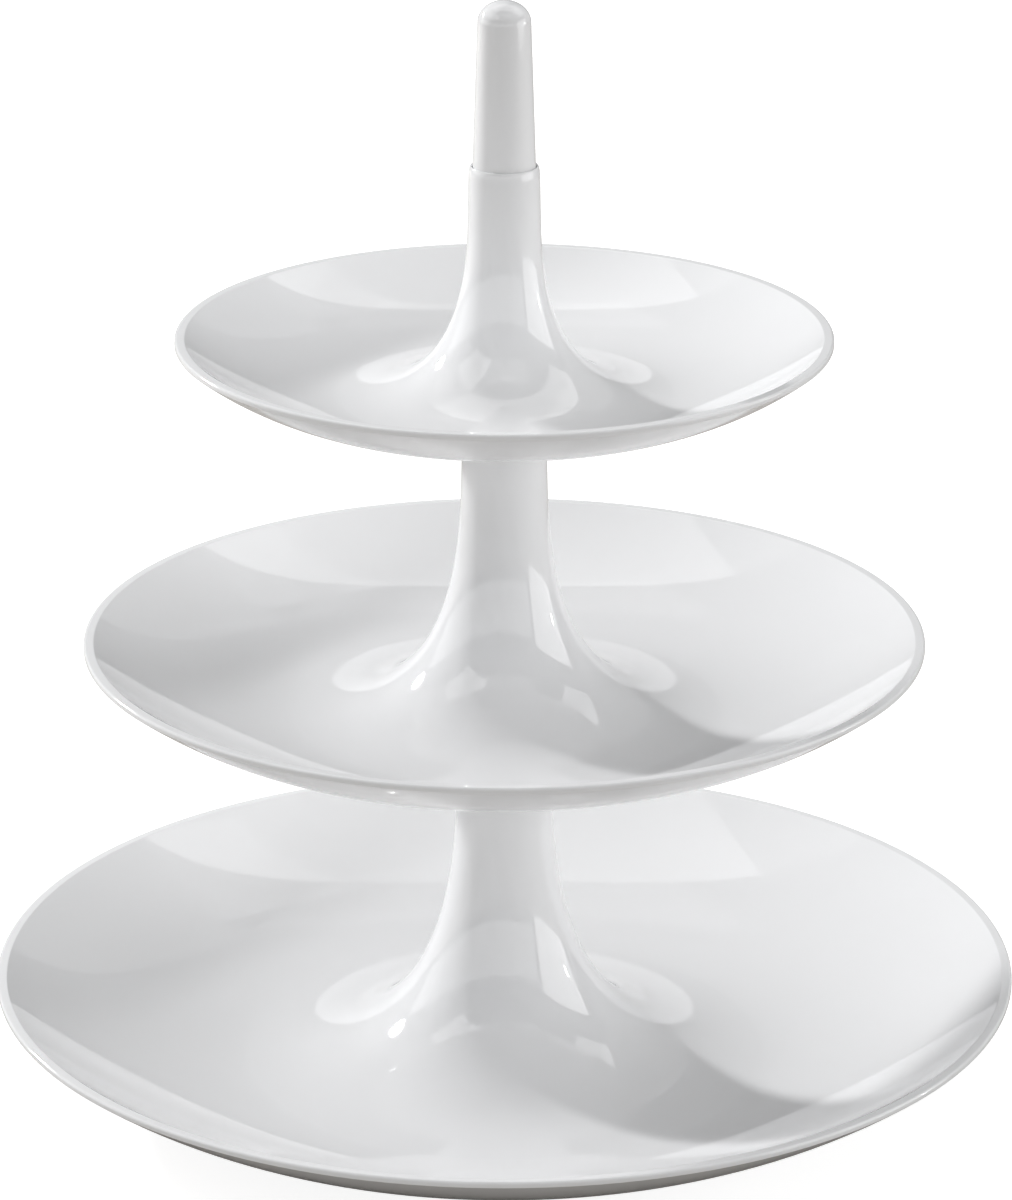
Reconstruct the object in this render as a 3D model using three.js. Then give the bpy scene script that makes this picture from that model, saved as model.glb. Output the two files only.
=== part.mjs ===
// Three-tier cake stand, pushed together from separate plastic mouldings.
// Each tray is one moulding: a shallow bowl whose middle rises as a hollow trumpet-shaped column.
// A lower tray's column narrows to a nose that plugs into the hollow column of the tray above it.
// The top tray's column is an open neck, and the carrying handle is a hollow peg pushed into it.
// Units are millimetres, +Z is up, and the origin is the middle of the ring that the stand rests on.

import * as THREE from 'three';

// ---- Driving dimensions ----

// Trays, from the bottom up. foot is the height of the underside's lowest ring. columnRadius is the
// column's outer radius at flareHeight above the foot, where the straight column starts to flare,
// and draft is how much that radius shrinks for each millimetre further up.
const bottomTray = { rimRadius: 158, foot: 0, columnRadius: 14.8, flareHeight: 88.2, draft: 0.028 };
const middleTray = { rimRadius: 128.3, foot: 114.7, columnRadius: 13.2, flareHeight: 73.2, draft: 0.026 };
const topTray = { rimRadius: 98.7, foot: 216, columnRadius: 10.9, flareHeight: 56.5, draft: 0.018 };

// Bowl section, shared by the trays as shares of the rim radius. The bowl is level in its valley and
// meets the rim at rimSlope. The two shares of the bowl's width say how far its curve keeps level at
// the valley and how far it keeps the rim's slope.
const valleyShare = 0.51;
const depthShare = 0.2;
const rimSlope = THREE.MathUtils.degToRad(38.3);
const valleyReach = 0.07;
const rimReach = 0.6;
const bowlWall = 3.2;
const lipWidth = 3;
const lipHeight = 1.7;
const lipRounding = 0.7;
const footInside = 1.5;
const footOutside = 5;

// Trumpet flare: how far its curve keeps the column's direction, and how far it keeps level,
// as shares of the flare's height and width.
const flareLift = 0.59;
const flareReach = 0.75;
const columnWall = 2.2;

// Push fits between the mouldings. straightBore is the stretch of hollow above a flare that a nose
// can reach into, and halvings is how often an interval is halved to find where two walls meet.
const seatGap = 0.35;
const bottomNoseTop = 193.6;
const middleNoseTop = 264.6;
const noseRounding = 1.5;
const straightBore = 20;
const halvings = 30;

// Neck of the top tray and the handle that stands in it.
const neckTop = 289.4;
const neckShoulder = { height: 3.7, width: 0.8 };
const socketDepth = 15.4;
const handleGap = 0.25;
const handle = { top: 339.2, radius: 9.4, taper: 0.0337, domeHeight: 6.6, wall: 2.2 };
const plugDraft = 0.008;
const plugChamfer = 0.8;

// Facets: around the axis, along the bowl's arc, along the flare and along a small rounding.
const turns = 48;
const bowlSteps = 6;
const flareSteps = 9;
const roundSteps = 2;
const domeSteps = 5;

const trayWhite = 0xf2f3f3;

// ---- Section curves, as points of (radius, height) ----

const point = (radius, height) => new THREE.Vector2(radius, height);

// Quarter of an ellipse from one point to the other. It leaves the first point upright
// and arrives at the second one level.
function quarter(start, end, steps) {
  return Array.from({ length: steps + 1 }, (_, i) => {
    const angle = (Math.PI / 2) * (i / steps);
    return point(
      end.x + (start.x - end.x) * Math.cos(angle),
      start.y + (end.y - start.y) * Math.sin(angle),
    );
  });
}

const valleyRadius = (tray) => tray.rimRadius * valleyShare;
const flareTop = (tray) => tray.foot + tray.flareHeight;
const columnRadiusAt = (tray, height) =>
  tray.columnRadius - tray.draft * (height - flareTop(tray));

// One side of the trumpet, from the column down to the valley between column and bowl.
function flare(tray, inset, valleyHeight) {
  const start = point(tray.columnRadius - inset, flareTop(tray));
  const end = point(valleyRadius(tray), valleyHeight);
  const lift = flareLift * (start.y - end.y);
  const reach = flareReach * (end.x - start.x);
  const curve = new THREE.CubicBezierCurve(
    start,
    point(start.x + tray.draft * lift, start.y - lift),
    point(end.x - reach, end.y),
    end,
  );
  return curve.getPoints(flareSteps);
}

const upperFlare = (tray) => flare(tray, 0, tray.foot + bowlWall);
const lowerFlare = (tray) => flare(tray, columnWall, tray.foot);

// One side of the bowl, from level at the valley out to an edge that it meets at the rim's slope.
function dish(valley, edge) {
  const width = edge.x - valley.x;
  const hold = rimReach * width;
  const curve = new THREE.CubicBezierCurve(
    valley,
    point(valley.x + valleyReach * width, valley.y),
    point(edge.x - hold * Math.cos(rimSlope), edge.y - hold * Math.sin(rimSlope)),
    edge,
  );
  return curve.getPoints(bowlSteps);
}

// Eating side of the bowl, from the valley out to the rim, round the lip and back along the
// underside to the ring that the tray rests on.
function bowl(tray) {
  const valley = valleyRadius(tray);
  const edgeHeight = tray.foot + tray.rimRadius * depthShare;
  const lipTop = edgeHeight + lipHeight;

  const inside = dish(
    point(valley, tray.foot + bowlWall),
    point(tray.rimRadius - lipWidth, lipTop),
  );
  const outerEdge = quarter(
    point(tray.rimRadius, lipTop - lipRounding),
    point(tray.rimRadius - lipRounding, lipTop),
    roundSteps,
  ).reverse();
  const underside = dish(point(valley, tray.foot), point(tray.rimRadius, edgeHeight)).reverse();
  const footRing = point(valley + footOutside, tray.foot);
  return [...inside, ...outerEdge, ...underside.filter((p) => p.x > footRing.x + 1), footRing];
}

// Underside of the trumpet, from the foot ring up to the height where the straight column starts.
// The flare's last points lie within the foot ring, so they are left out.
function hollow(tray) {
  const footEdge = valleyRadius(tray) - footInside;
  const curve = lowerFlare(tray).reverse();
  return [point(footEdge, tray.foot), ...curve.filter((p) => p.x < footEdge - lipRounding)];
}

// Radius of a line of points at a height, where the points fall from high to low.
function radiusAt(line, height) {
  const i = Math.max(1, line.findIndex((p) => p.y <= height));
  const [above, below] = [line[i - 1], line[i]];
  const share = (above.y - height) / (above.y - below.y);
  return above.x + (below.x - above.x) * share;
}

// ---- Mouldings ----

// Height where the nose has widened to the column's own radius, found by halving the interval.
function shoulderHeight(noseRadius, columnRadius, above, below) {
  let [high, low] = [above, below];
  for (let i = 0; i < halvings; i += 1) {
    const middle = (high + low) / 2;
    if (noseRadius(middle) < columnRadius(middle)) high = middle;
    else low = middle;
  }
  return high;
}

// A tray whose column ends in a closed nose that fits the hollow of the tray above.
function pluggedTrayProfile(tray, upper, noseTop) {
  const boreTop = flareTop(upper) + straightBore;
  const bore = point(columnRadiusAt(upper, boreTop) - columnWall, boreTop);
  const socket = [bore, ...lowerFlare(upper)];
  const noseRadius = (height) => radiusAt(socket, height) - seatGap;
  const columnRadius = (height) => columnRadiusAt(tray, height);
  const shoulder = shoulderHeight(noseRadius, columnRadius, noseTop, upper.foot);

  const roundStart = noseTop - noseRounding;
  const bends = socket.map((p) => p.y).filter((height) => height < roundStart && height > shoulder);
  const nose = [roundStart, ...bends].map((height) => point(noseRadius(height), height));
  const noseEdge = point(nose[0].x - noseRounding, noseTop);
  const cap = quarter(nose[0], noseEdge, roundSteps).reverse();

  const coreShoulder = shoulder - columnWall;
  const coreTop = noseTop - columnWall;
  const core = [
    point(columnRadius(coreShoulder) - columnWall, coreShoulder),
    point(nose[0].x - columnWall, coreTop - columnWall),
    point(nose[0].x - 2 * columnWall, coreTop),
    point(0, coreTop),
  ];
  return [
    point(0, noseTop),
    ...cap,
    ...nose.slice(1),
    point(columnRadius(shoulder), shoulder),
    ...upperFlare(tray).slice(0, -1),
    ...bowl(tray),
    ...hollow(tray),
    ...core,
  ];
}

// The top tray, whose neck is open right through and is bored out to take the handle.
function neckedTrayProfile(tray) {
  const neckRadius = columnRadiusAt(tray, neckTop - neckShoulder.height);
  const shoulder = quarter(
    point(neckRadius, neckTop - neckShoulder.height),
    point(neckRadius - neckShoulder.width, neckTop),
    roundSteps,
  ).reverse();
  const ledgeHeight = neckTop - socketDepth;
  const socketRadius = handle.radius + handleGap;
  const boreRadius = tray.columnRadius - columnWall;
  const loop = [
    ...shoulder,
    ...upperFlare(tray).slice(0, -1),
    ...bowl(tray),
    ...hollow(tray),
    point(boreRadius, ledgeHeight),
    point(socketRadius - plugDraft * socketDepth, ledgeHeight),
    point(socketRadius, neckTop - handleGap),
  ];
  return [...loop, loop[0].clone()];
}

// Hollow peg, open below: a straight plug inside the neck, a long taper above it and a domed end.
function handleProfile() {
  const plugBottom = neckTop - socketDepth + handleGap;
  const plugRadius = handle.radius - plugDraft * (neckTop - plugBottom);
  const domeStart = handle.top - handle.domeHeight;
  const domeRadius = handle.radius - handle.taper * (domeStart - neckTop);
  const dome = quarter(point(domeRadius, domeStart), point(0, handle.top), domeSteps);
  const core = quarter(
    point(domeRadius - handle.wall, domeStart - handle.wall),
    point(0, handle.top - 2 * handle.wall),
    roundSteps,
  );
  return [
    ...dome.reverse(),
    point(handle.radius, neckTop),
    point(plugRadius, plugBottom + plugChamfer),
    point(plugRadius - plugChamfer, plugBottom),
    point(plugRadius - handle.wall, plugBottom),
    ...core,
  ];
}

// ---- Scene graph ----

// The sections run clockwise, from the axis out over the top, so they are reversed for the lathe.
function moulding(name, profile) {
  const geometry = new THREE.LatheGeometry(profile.reverse(), turns);
  geometry.rotateX(Math.PI / 2);
  const material = new THREE.MeshStandardMaterial({ color: trayWhite, roughness: 0.12, metalness: 0 });
  const mesh = new THREE.Mesh(geometry, material);
  mesh.name = name;
  return mesh;
}

const cakeStand = new THREE.Group();
cakeStand.add(
  moulding('bottom_tray', pluggedTrayProfile(bottomTray, middleTray, bottomNoseTop)),
  moulding('middle_tray', pluggedTrayProfile(middleTray, topTray, middleNoseTop)),
  moulding('top_tray', neckedTrayProfile(topTray)),
  moulding('handle', handleProfile()),
);

export default cakeStand;
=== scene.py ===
"""Three-tier cake stand in glossy white plastic: the fine visual model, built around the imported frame.

Sections are in millimetres, as (radius, height) with the height taken from the ring that the stand rests on.
Everything placed in the scene is in metres.
"""

import math

import bmesh
import bpy
from mathutils import Matrix, Vector


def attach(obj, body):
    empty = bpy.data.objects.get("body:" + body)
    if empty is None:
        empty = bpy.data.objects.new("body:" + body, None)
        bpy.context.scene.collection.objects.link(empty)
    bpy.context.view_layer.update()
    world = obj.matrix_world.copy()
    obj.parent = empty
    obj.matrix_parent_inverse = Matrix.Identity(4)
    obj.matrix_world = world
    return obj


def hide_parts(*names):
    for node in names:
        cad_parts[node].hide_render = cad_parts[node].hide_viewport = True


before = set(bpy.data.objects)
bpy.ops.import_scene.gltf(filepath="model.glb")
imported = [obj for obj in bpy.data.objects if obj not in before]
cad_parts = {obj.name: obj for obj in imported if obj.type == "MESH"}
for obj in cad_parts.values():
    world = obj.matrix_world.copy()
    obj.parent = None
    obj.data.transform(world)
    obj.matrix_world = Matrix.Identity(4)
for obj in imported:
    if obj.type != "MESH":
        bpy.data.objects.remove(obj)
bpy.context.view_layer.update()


# ---- Camera ----

camera = bpy.data.objects.new("camera", bpy.data.cameras.new("camera"))
camera.data.lens = 157.3
camera.data.sensor_width = 36
camera.location = (0.0005, -1.5043, 0.695)
camera.rotation_euler = (math.radians(70.17), 0, 0)
bpy.context.scene.collection.objects.link(camera)
bpy.context.scene.camera = camera


# ---- Dimensions, the same as the CAD mouldings ----


class Tray:
    def __init__(self, rim_radius, foot, column_radius, flare_height, draft):
        self.rim_radius = rim_radius
        self.foot = foot
        self.column_radius = column_radius
        self.flare_top = foot + flare_height
        self.draft = draft
        self.valley_radius = rim_radius * VALLEY_SHARE

    def column_at(self, height):
        return self.column_radius - self.draft * (height - self.flare_top)


VALLEY_SHARE = 0.51
DEPTH_SHARE = 0.2
RIM_SLOPE = math.radians(38.3)
VALLEY_REACH = 0.07
RIM_REACH = 0.6
BOWL_WALL = 3.2
LIP_WIDTH = 3
LIP_HEIGHT = 1.7
FOOT_INSIDE = 1.5
FOOT_OUTSIDE = 5
FLARE_LIFT = 0.59
FLARE_REACH = 0.75
COLUMN_WALL = 2.2
SEAT_GAP = 0.35
STRAIGHT_BORE = 20
NOSE_ROUNDING = 1.5
NECK_TOP = 289.4
NECK_SHOULDER_HEIGHT = 3.7
NECK_SHOULDER_WIDTH = 0.8
SOCKET_DEPTH = 15.4
HANDLE_GAP = 0.25
HANDLE_TOP = 339.2
HANDLE_RADIUS = 9.4
HANDLE_TAPER = 0.0337
HANDLE_DOME = 6.6
HANDLE_WALL = 2.2
PLUG_DRAFT = 0.008
PLUG_CHAMFER = 0.8

# Fillets: the lip's inner, top outer and lower outer edges, then inside the column, at the ledge and
# round the plug. The two margins keep points of the curves off the foot ring's inner and outer edges.
LIP_FILLETS = [0.7, 0.75, 0.45]
CORE_FILLET = 0.5
LEDGE_FILLETS = [0.15, 0.2]
PLUG_FILLET = 0.3
FOOT_INNER_MARGIN = 0.7
FOOT_OUTER_MARGIN = 1

BOTTOM = Tray(158, 0, 14.8, 88.2, 0.028)
MIDDLE = Tray(128.3, 114.7, 13.2, 73.2, 0.026)
TOP = Tray(98.7, 216, 10.9, 56.5, 0.018)
BOTTOM_NOSE_TOP = 193.6
MIDDLE_NOSE_TOP = 264.6

# Facets: around the axis, along the flare, along the bowl and along each fillet. Support points stand off
# a fillet by a share of its reach, and a fillet takes at most LONGEST_FILLET of either side it joins.
TURNS = 180
FLARE_STEPS = 56
DISH_STEPS = 64
FILLET_STEPS = 6
CAP_STEPS = 8
SHOULDER_STEPS = 14
DOME_STEPS = 28
CORE_DOME_STEPS = 12
COLUMN_STEPS = 24
NECK_STEPS = 8
HANDLE_STEPS = 20
SUPPORT_SHARE = 0.25
LONGEST_FILLET = 0.45

# How often an interval is halved to find where two walls meet, and the radius in metres below which a
# point of a section is on the axis.
HALVINGS = 40
MM_PER_M = 1000
ON_AXIS = 1e-9


# ---- Section curves ----


def quarter(start, end, steps):
    """Quarter of an ellipse that leaves start upright and arrives at end level."""
    angles = [math.pi / 2 * i / steps for i in range(steps + 1)]
    return [
        (end[0] + (start[0] - end[0]) * math.cos(a), start[1] + (end[1] - start[1]) * math.sin(a))
        for a in angles
    ]


def bezier(a, b, c, d, steps):
    """Points of a cubic curve."""
    points = []
    for i in range(steps + 1):
        t = i / steps
        shares = ((1 - t) ** 3, 3 * t * (1 - t) ** 2, 3 * t * t * (1 - t), t**3)
        points.append(tuple(sum(s * p[k] for s, p in zip(shares, (a, b, c, d))) for k in (0, 1)))
    return points


def straight(start, end, steps):
    """Points of a straight line, its start left out."""
    return [
        (start[0] + (end[0] - start[0]) * i / steps, start[1] + (end[1] - start[1]) * i / steps)
        for i in range(1, steps + 1)
    ]


def flare(tray, inset, valley_height):
    """One side of the trumpet, from the column down to the valley between column and bowl."""
    start = (tray.column_radius - inset, tray.flare_top)
    end = (tray.valley_radius, valley_height)
    lift = FLARE_LIFT * (start[1] - end[1])
    reach = FLARE_REACH * (end[0] - start[0])
    leave = (start[0] + tray.draft * lift, start[1] - lift)
    return bezier(start, leave, (end[0] - reach, end[1]), end, FLARE_STEPS)


def dish(valley, edge):
    """One side of the bowl, from level at the valley out to an edge that it meets at the rim's slope."""
    width = edge[0] - valley[0]
    hold = RIM_REACH * width
    leave = (valley[0] + VALLEY_REACH * width, valley[1])
    arrive = (edge[0] - hold * math.cos(RIM_SLOPE), edge[1] - hold * math.sin(RIM_SLOPE))
    return bezier(valley, leave, arrive, edge, DISH_STEPS)


def radius_at(line, height):
    """Radius of a line of points at a height, where the points fall from high to low."""
    for above, below in zip(line, line[1:]):
        if below[1] <= height:
            share = (above[1] - height) / (above[1] - below[1])
            return above[0] + (below[0] - above[0]) * share
    return line[-1][0]


def rounded(corners, radii):
    """A line through corners, each one filleted to its radius, with a point close by on either side so
    that the shading of the long faces stays flat. A radius of 0 keeps the corner."""
    line = []
    for i, (corner, radius) in enumerate(zip(corners, radii)):
        if not radius:
            line.append(corner)
            continue
        here = Vector(corner)
        back = Vector(corners[i - 1]) - here
        on = Vector(corners[(i + 1) % len(corners)]) - here
        half_angle = back.angle(on) / 2
        longest = LONGEST_FILLET * min(back.length, on.length)
        reach = min(radius / math.tan(half_angle), longest)
        radius = reach * math.tan(half_angle)
        back.normalize()
        on.normalize()
        centre = here + (back + on).normalized() * (radius / math.sin(half_angle))
        first = here + back * reach
        last = here + on * reach
        support = SUPPORT_SHARE * reach
        line.append(tuple(first + back * support))
        swing = (first - centre).angle_signed(last - centre)
        for k in range(FILLET_STEPS + 1):
            spoke = first - centre
            spoke.rotate(Matrix.Rotation(-swing * k / FILLET_STEPS, 2))
            line.append(tuple(centre + spoke))
        line.append(tuple(last + on * support))
    return line


# ---- Mouldings ----


def bowl(tray):
    """Eating side of the bowl from the valley out to the rim, round the lip and back along the underside
    to the foot ring."""
    edge = tray.foot + tray.rim_radius * DEPTH_SHARE
    lip_top = edge + LIP_HEIGHT
    inside = dish((tray.valley_radius, tray.foot + BOWL_WALL), (tray.rim_radius - LIP_WIDTH, lip_top))
    underside = dish((tray.valley_radius, tray.foot), (tray.rim_radius, edge))[::-1]
    lip = rounded(
        [inside[-2], inside[-1], (tray.rim_radius, lip_top), underside[0], underside[1]],
        [0, *LIP_FILLETS, 0],
    )
    foot_ring = (tray.valley_radius + FOOT_OUTSIDE, tray.foot)
    below = [p for p in underside[2:] if p[0] > foot_ring[0] + FOOT_OUTER_MARGIN]
    return inside[:-2] + lip + below + [foot_ring, (tray.valley_radius - FOOT_INSIDE, tray.foot)]


def hollow(tray):
    """Underside of the trumpet, from the foot ring up to where the straight column starts."""
    foot_edge = tray.valley_radius - FOOT_INSIDE
    curve = flare(tray, COLUMN_WALL, tray.foot)[::-1]
    return [p for p in curve if p[0] < foot_edge - FOOT_INNER_MARGIN]


def plugged_tray(tray, upper, nose_top):
    """A tray whose column ends in a closed nose that fits the hollow of the tray above."""
    bore_top = upper.flare_top + STRAIGHT_BORE
    socket = [(upper.column_at(bore_top) - COLUMN_WALL, bore_top)] + flare(upper, COLUMN_WALL, upper.foot)

    def nose_at(height):
        return radius_at(socket, height) - SEAT_GAP

    high, low = nose_top, upper.foot
    for _ in range(HALVINGS):
        middle = (high + low) / 2
        if nose_at(middle) < tray.column_at(middle):
            high = middle
        else:
            low = middle
    shoulder = high
    round_start = nose_top - NOSE_ROUNDING
    bends = [h for _, h in socket if shoulder < h < round_start]
    nose = [(nose_at(h), h) for h in [round_start] + bends]
    edge = (nose[0][0] - NOSE_ROUNDING, nose_top)
    cap = quarter(nose[0], edge, CAP_STEPS)[::-1]

    column_top = (tray.column_at(shoulder), shoulder)
    core_shoulder = shoulder - COLUMN_WALL
    core_top = nose_top - COLUMN_WALL
    core = rounded(
        [
            (tray.column_radius - COLUMN_WALL, tray.flare_top),
            (tray.column_at(core_shoulder) - COLUMN_WALL, core_shoulder),
            (nose[0][0] - COLUMN_WALL, core_top - COLUMN_WALL),
            (nose[0][0] - 2 * COLUMN_WALL, core_top),
            (0, core_top),
        ],
        [0, CORE_FILLET, CORE_FILLET, CORE_FILLET, 0],
    )
    return (
        [(0, nose_top)]
        + cap
        + nose[1:]
        + [column_top]
        + straight(column_top, (tray.column_radius, tray.flare_top), COLUMN_STEPS)
        + flare(tray, 0, tray.foot + BOWL_WALL)[1:-1]
        + bowl(tray)
        + hollow(tray)
        + core[1:]
    )


def necked_tray(tray):
    """The top tray, whose neck is open right through and is bored out to take the handle."""
    shoulder_height = NECK_TOP - NECK_SHOULDER_HEIGHT
    neck_radius = tray.column_at(shoulder_height)
    neck_foot = (neck_radius, shoulder_height)
    shoulder = quarter(neck_foot, (neck_radius - NECK_SHOULDER_WIDTH, NECK_TOP), SHOULDER_STEPS)[::-1]
    ledge = NECK_TOP - SOCKET_DEPTH
    socket = HANDLE_RADIUS + HANDLE_GAP
    bore = tray.column_radius - COLUMN_WALL
    inner = rounded(
        [
            (bore, tray.flare_top),
            (bore, ledge),
            (socket - PLUG_DRAFT * SOCKET_DEPTH, ledge),
            (socket, NECK_TOP - HANDLE_GAP),
            shoulder[0],
        ],
        [0, *LEDGE_FILLETS, 0, 0],
    )
    return (
        shoulder
        + straight(neck_foot, (tray.column_radius, tray.flare_top), NECK_STEPS)
        + flare(tray, 0, tray.foot + BOWL_WALL)[1:-1]
        + bowl(tray)
        + hollow(tray)
        + inner[1:-1]
    )


def handle_peg():
    """Hollow peg, open below: a straight plug inside the neck, a long taper above it and a domed end."""
    plug_bottom = NECK_TOP - SOCKET_DEPTH + HANDLE_GAP
    plug_radius = HANDLE_RADIUS - PLUG_DRAFT * (NECK_TOP - plug_bottom)
    dome_start = HANDLE_TOP - HANDLE_DOME
    dome_radius = HANDLE_RADIUS - HANDLE_TAPER * (dome_start - NECK_TOP)
    dome = quarter((dome_radius, dome_start), (0, HANDLE_TOP), DOME_STEPS)[::-1]
    core_start = (dome_radius - HANDLE_WALL, dome_start - HANDLE_WALL)
    core = quarter(core_start, (0, HANDLE_TOP - 2 * HANDLE_WALL), CORE_DOME_STEPS)
    plug = rounded(
        [
            (HANDLE_RADIUS, NECK_TOP),
            (plug_radius, plug_bottom + PLUG_CHAMFER),
            (plug_radius - PLUG_CHAMFER, plug_bottom),
            (plug_radius - HANDLE_WALL, plug_bottom),
            core[0],
        ],
        [0, PLUG_FILLET, PLUG_FILLET, PLUG_FILLET, 0],
    )
    return dome + straight(dome[-1], (HANDLE_RADIUS, NECK_TOP), HANDLE_STEPS) + plug[1:-1] + core


def moulding(name, body, profile, closed=False):
    """The section turned about the axis, as one closed skin that stands for the CAD node of that name."""
    mesh = bmesh.new()
    angles = [2 * math.pi * k / TURNS for k in range(TURNS)]
    rings = []
    for radius, height in profile:
        r, z = radius / MM_PER_M, height / MM_PER_M
        if r < ON_AXIS:
            rings.append([mesh.verts.new((0, 0, z))] * TURNS)
            continue
        rings.append([mesh.verts.new((r * math.cos(a), r * math.sin(a), z)) for a in angles])
    pairs = list(zip(rings, rings[1:]))
    if closed:
        pairs.append((rings[-1], rings[0]))
    for upper, lower in pairs:
        for k in range(TURNS):
            n = (k + 1) % TURNS
            corners = [upper[k], lower[k], lower[n], upper[n]]
            mesh.faces.new([v for i, v in enumerate(corners) if v is not corners[i - 1]])
    bmesh.ops.recalc_face_normals(mesh, faces=mesh.faces)
    data = bpy.data.meshes.new(name)
    mesh.to_mesh(data)
    mesh.free()
    data.polygons.foreach_set("use_smooth", [True] * len(data.polygons))
    piece = bpy.data.objects.new(name, data)
    bpy.context.scene.collection.objects.link(piece)
    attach(piece, body)
    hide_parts(name.removesuffix("_skin"))
    return piece


bottom_tray = moulding("bottom_tray_skin", "base", plugged_tray(BOTTOM, MIDDLE, BOTTOM_NOSE_TOP))
middle_tray = moulding("middle_tray_skin", "middle_tier", plugged_tray(MIDDLE, TOP, MIDDLE_NOSE_TOP))
top_tray = moulding("top_tray_skin", "top_tier", necked_tray(TOP), closed=True)
handle = moulding("handle_skin", "grip", handle_peg())


# ---- Materials ----

# The white of the plastic, and noise scales per metre for its three patterns. Clouding takes the white down
# to CLOUD_SHADE of itself, and uneven gloss moves the roughness by GLOSS_SWING of itself either way.
WHITE = (0.88, 0.885, 0.895)
CLOUD_SCALE = 14
CLOUD_SHADE = 0.985
GLOSS_SCALE = 60
GLOSS_SWING = 0.3
PEEL_SCALE = 900


def plastic(name, colour, roughness):
    """Glossy injection-moulded plastic: faint clouding in the colour, uneven gloss and a fine orange peel."""
    material = bpy.data.materials.new(name)
    material.use_nodes = True
    nodes, links = material.node_tree.nodes, material.node_tree.links
    shader = nodes["Principled BSDF"]
    shader.inputs["IOR"].default_value = 1.6
    where = nodes.new("ShaderNodeTexCoord")

    def noise(scale, detail=2.0):
        made = nodes.new("ShaderNodeTexNoise")
        made.inputs["Scale"].default_value = scale
        made.inputs["Detail"].default_value = detail
        links.new(where.outputs["Object"], made.inputs["Vector"])
        return made.outputs["Fac"]

    def ramp(value, low, high):
        made = nodes.new("ShaderNodeMapRange")
        made.inputs["To Min"].default_value = low
        made.inputs["To Max"].default_value = high
        links.new(value, made.inputs["Value"])
        return made.outputs["Result"]

    tint = nodes.new("ShaderNodeMix")
    tint.data_type = "RGBA"
    tint.inputs["A"].default_value = (*[c * CLOUD_SHADE for c in colour], 1)
    tint.inputs["B"].default_value = (*colour, 1)
    links.new(noise(CLOUD_SCALE), tint.inputs["Factor"])
    links.new(tint.outputs["Result"], shader.inputs["Base Color"])
    low, high = roughness * (1 - GLOSS_SWING), roughness * (1 + GLOSS_SWING)
    links.new(ramp(noise(GLOSS_SCALE, 4), low, high), shader.inputs["Roughness"])

    bump = nodes.new("ShaderNodeBump")
    bump.inputs["Strength"].default_value = 0.01
    bump.inputs["Distance"].default_value = 0.00003
    links.new(noise(PEEL_SCALE, 3), bump.inputs["Height"])
    links.new(bump.outputs["Normal"], shader.inputs["Normal"])
    return material


tray_plastic = plastic("tray_plastic", WHITE, 0.045)
handle_plastic = plastic("handle_plastic", WHITE, 0.055)
for piece in (bottom_tray, middle_tray, top_tray):
    piece.data.materials.append(tray_plastic)
handle.data.materials.append(handle_plastic)


# ---- Floor, backdrop and lights ----


def split_by_ray(tree, mirrored, seen, surface):
    """One shader for rays straight from the camera, and another for reflections and bounced light."""
    path = tree.nodes.new("ShaderNodeLightPath")
    mix = tree.nodes.new("ShaderNodeMixShader")
    tree.links.new(path.outputs["Is Camera Ray"], mix.inputs["Fac"])
    tree.links.new(mirrored.outputs[0], mix.inputs[1])
    tree.links.new(seen.outputs[0], mix.inputs[2])
    tree.links.new(mix.outputs[0], surface)


def floor_material():
    """Pale matt floor: near white where it is looked at, and a warm grey in what the plastic mirrors."""
    material = bpy.data.materials.new("floor_paper")
    material.use_nodes = True
    tree = material.node_tree
    tree.nodes.clear()
    output = tree.nodes.new("ShaderNodeOutputMaterial")
    paper = tree.nodes.new("ShaderNodeBsdfDiffuse")
    paper.inputs["Color"].default_value = (0.42, 0.42, 0.42, 1)
    glow = tree.nodes.new("ShaderNodeEmission")
    glow.inputs["Strength"].default_value = 0.87
    seen = tree.nodes.new("ShaderNodeAddShader")
    tree.links.new(paper.outputs[0], seen.inputs[0])
    tree.links.new(glow.outputs[0], seen.inputs[1])
    mirrored = tree.nodes.new("ShaderNodeBsdfDiffuse")
    mirrored.inputs["Color"].default_value = (0.42, 0.40, 0.375, 1)
    split_by_ray(tree, mirrored, seen, output.inputs["Surface"])
    return material


FLOOR_HALF = 3
floor_mesh = bpy.data.meshes.new("floor")
floor_corners = [(x * FLOOR_HALF, y * FLOOR_HALF, 0) for x, y in ((-1, -1), (1, -1), (1, 1), (-1, 1))]
floor_mesh.from_pydata(floor_corners, [], [(0, 1, 2, 3)])
floor = bpy.data.objects.new("floor", floor_mesh)
floor.data.materials.append(floor_material())
bpy.context.scene.collection.objects.link(floor)

# Heights that the lights are placed from: the middle of the stand, the ceiling and the key. AIM is the
# point that the panels face, and FAR is how far off the dim panels stand.
MIDDLE_HEIGHT = 0.15
CEILING_HEIGHT = 1.1
KEY_HEIGHT = 1.15
AIM = (0, 0, MIDDLE_HEIGHT)
FAR = 2.6


def panel(name, centre, toward, width, height, radiance, shape="RECTANGLE"):
    """A softbox facing a point, with the radiance given for its face."""
    light = bpy.data.lights.new(name, "AREA")
    light.shape = shape
    light.size = width
    if shape == "RECTANGLE":
        light.size_y = height
        area = width * height
    else:
        area = math.pi * width * width / 4
    light.energy = radiance * math.pi * area
    made = bpy.data.objects.new(name, light)
    made.location = centre
    facing = (Vector(toward) - Vector(centre)).to_track_quat("-Z", "Y")
    made.rotation_euler = facing.to_euler()
    made.visible_camera = False
    bpy.context.scene.collection.objects.link(made)
    return made


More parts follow.
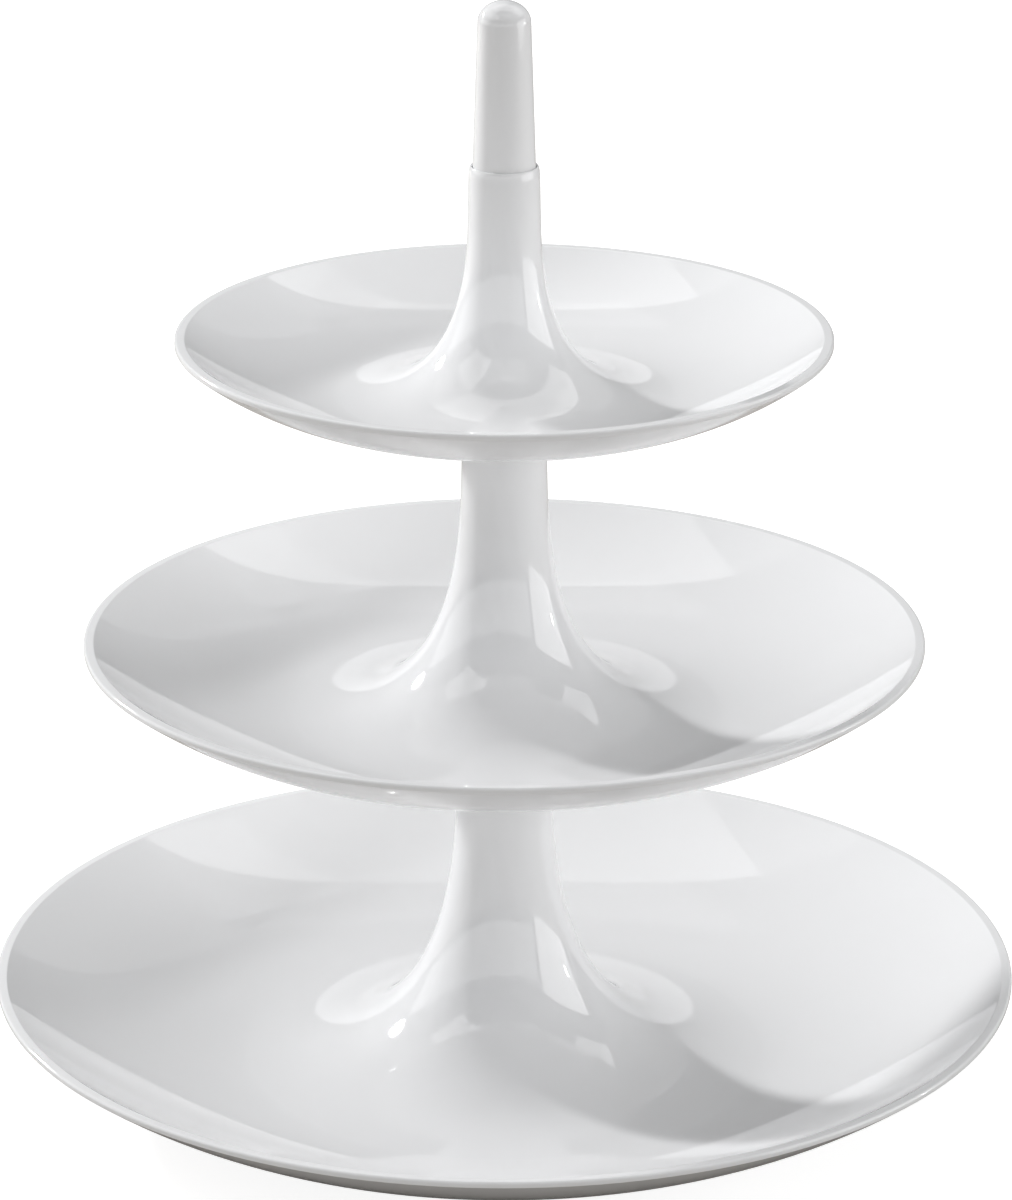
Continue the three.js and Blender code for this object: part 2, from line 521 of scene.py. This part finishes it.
def around(azimuth, elevation, distance, height=MIDDLE_HEIGHT):
    """A point seen from the stand at that azimuth (0 towards the camera, 90 to the right) and elevation."""
    a, e = math.radians(azimuth), math.radians(elevation)
    return (
        distance * math.sin(a) * math.cos(e),
        -distance * math.cos(a) * math.cos(e),
        height + distance * math.sin(e),
    )


def ceiling(name, x0, x1, y0, y1, radiance):
    """A level diffuser over the stand, between two widths and two depths."""
    centre = ((x0 + x1) / 2, (y0 + y1) / 2, CEILING_HEIGHT)
    return panel(name, centre, (centre[0], centre[1], 0), x1 - x0, y1 - y0, radiance)


def far_panel(name, azimuths, elevations, radiance):
    """A large dim diffuser far off, filling that range of azimuth and elevation as seen from the stand."""
    azimuth, elevation = sum(azimuths) / 2, sum(elevations) / 2
    width = 2 * FAR * math.tan(math.radians(azimuths[1] - azimuths[0]) / 2)
    width *= math.cos(math.radians(elevation))
    height = 2 * FAR * math.tan(math.radians(elevations[1] - elevations[0]) / 2)
    return panel(name, around(azimuth, elevation, FAR), AIM, width, height, radiance)


panel("key", around(-128, 0, 2.3, KEY_HEIGHT), AIM, 0.2, 0.2, 445, "DISK")
panel("key_halo", around(-126, 0, 2.3, KEY_HEIGHT), AIM, 0.4, 0.4, 21, "DISK")
ceiling("overhead_rear_left", -1.2, -0.4, 0, 0.65, 0.38)
ceiling("overhead_rear_middle", -0.4, 0.4, 0, 0.65, 1.27)
ceiling("overhead_rear_right", 0.4, 1.2, 0, 0.65, 1.48)
ceiling("overhead_left", -1.2, -0.4, -0.8, 0, 1.52)
panel("right_box", around(81, 10, 1.6), AIM, 1.5, 0.85, 2.54)
panel("right_lamp", around(97, 5, 1.4), AIM, 0.08, 0.08, 25)
far_panel("front_low_left", (-50, -17), (0, 20), 0.95)
far_panel("front_low_middle", (-17, 17), (0, 20), 0.95)
far_panel("front_low_right", (17, 50), (0, 20), 0.95)
far_panel("front_high_left", (-50, 0), (45, 70), 0.65)
far_panel("front_high_right", (0, 50), (45, 70), 0.65)
far_panel("left_low_near", (-85, -50), (0, 20), 1.06)
far_panel("left_low_far", (-120, -85), (0, 20), 1.06)
far_panel("rear_low", (160, 200), (0, 45), 0.07)
far_panel("rear_high", (160, 200), (45, 60), 0.36)
far_panel("rear_right_low", (120, 160), (0, 45), 0.28)
far_panel("rear_right_high", (120, 160), (45, 60), 0.5)

# The room beyond the panels: dim for the plastic, and as pale as the floor for the camera.
world = bpy.data.worlds.new("studio")
world.use_nodes = True
backdrop = world.node_tree.nodes["Background"]
backdrop.inputs["Color"].default_value = (0.98, 0.98, 0.98, 1)
room = world.node_tree.nodes.new("ShaderNodeBackground")
room.inputs["Color"].default_value = (0.1, 0.1, 0.1, 1)
world_output = world.node_tree.nodes["World Output"]
split_by_ray(world.node_tree, room, backdrop, world_output.inputs["Surface"])
bpy.context.scene.world = world
bpy.context.scene.view_settings.view_transform = "Standard"
bpy.context.scene.view_settings.look = "None"
